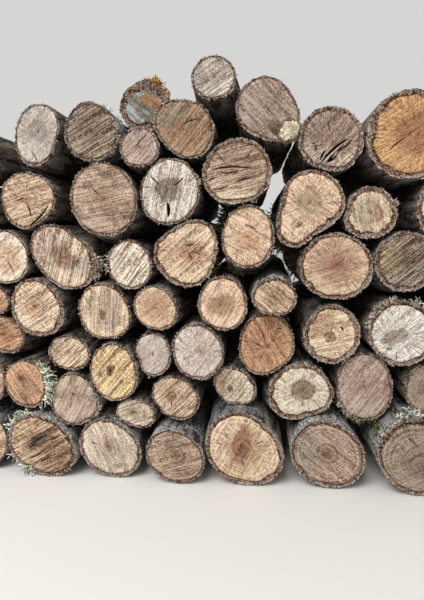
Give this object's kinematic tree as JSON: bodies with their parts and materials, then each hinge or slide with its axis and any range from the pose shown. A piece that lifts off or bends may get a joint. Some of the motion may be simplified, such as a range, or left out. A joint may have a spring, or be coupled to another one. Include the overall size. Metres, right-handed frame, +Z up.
{
  "type": "stack of logs",
  "caption": "Free-standing stack of short unsplit logs laid side by side in rows, sawn ends to the front, for firewood storage or outdoor scenery.",
  "frame": {"origin": "on the floor under the middle of the stack", "axes": "+X along the stack, +Y into it along the logs (the cut ends of the picture face -Y), +Z up"},
  "size_m": [1.375, 0.619, 0.8592],
  "materials": {
    "pale_wood": "sawn log ends, pale cream, with dark rough bark",
    "tan_wood": "sawn log ends, tan, with dark rough bark",
    "orange_wood": "sawn log ends, orange-brown, with dark rough bark",
    "grey_wood": "sawn log ends, weathered grey, with dark rough bark",
    "brown_wood": "sawn log ends, brown, with dark rough bark"
  },
  "bodies": {
    "root": {"fifth_row_log_2": "pale_wood", "fifth_row_log_3": "brown_wood", "fifth_row_log_4": "pale_wood", "fifth_row_log_5": "pale_wood", "fifth_row_log_6": "tan_wood", "fifth_row_log_7": "pale_wood", "fifth_row_log_8": "pale_wood", "fifth_row_log_9": "orange_wood", "floor_log_2": "tan_wood", "floor_log_3": "tan_wood", "floor_log_4": "pale_wood", "floor_log_5": "brown_wood", "floor_log_6": "tan_wood", "floor_log_7": "brown_wood", "floor_log_8": "grey_wood", "fourth_row_log_2": "orange_wood", "fourth_row_log_3": "pale_wood", "fourth_row_log_4": "pale_wood", "fourth_row_log_5": "tan_wood", "fourth_row_log_6": "pale_wood", "fourth_row_log_7": "grey_wood", "fourth_row_log_8": "tan_wood", "fourth_row_log_9": "brown_wood", "left_end_logs": "tan_wood", "right_end_logs": "tan_wood", "second_row_log_10": "brown_wood", "second_row_log_2": "tan_wood", "second_row_log_3": "orange_wood", "second_row_log_4": "tan_wood", "second_row_log_5": "tan_wood", "second_row_log_6": "tan_wood", "second_row_log_7": "tan_wood", "second_row_log_8": "pale_wood", "second_row_log_9": "grey_wood", "sixth_row_log_1": "tan_wood", "sixth_row_log_2": "tan_wood", "sixth_row_log_3": "tan_wood", "sixth_row_log_4": "pale_wood", "sixth_row_log_5": "brown_wood", "sixth_row_log_6": "grey_wood", "sixth_row_log_7": "orange_wood", "third_row_log_2": "orange_wood", "third_row_log_3": "pale_wood", "third_row_log_4": "tan_wood", "third_row_log_5": "grey_wood", "third_row_log_6": "grey_wood", "third_row_log_7": "orange_wood", "third_row_log_8": "pale_wood", "third_row_log_9": "pale_wood", "top_row_log_1": "pale_wood", "top_row_log_2": "brown_wood", "top_row_log_3": "tan_wood", "top_row_log_4": "orange_wood", "top_row_log_5": "grey_wood", "top_row_log_6": "pale_wood", "top_row_log_7": "grey_wood"}
  },
  "joints": []
}
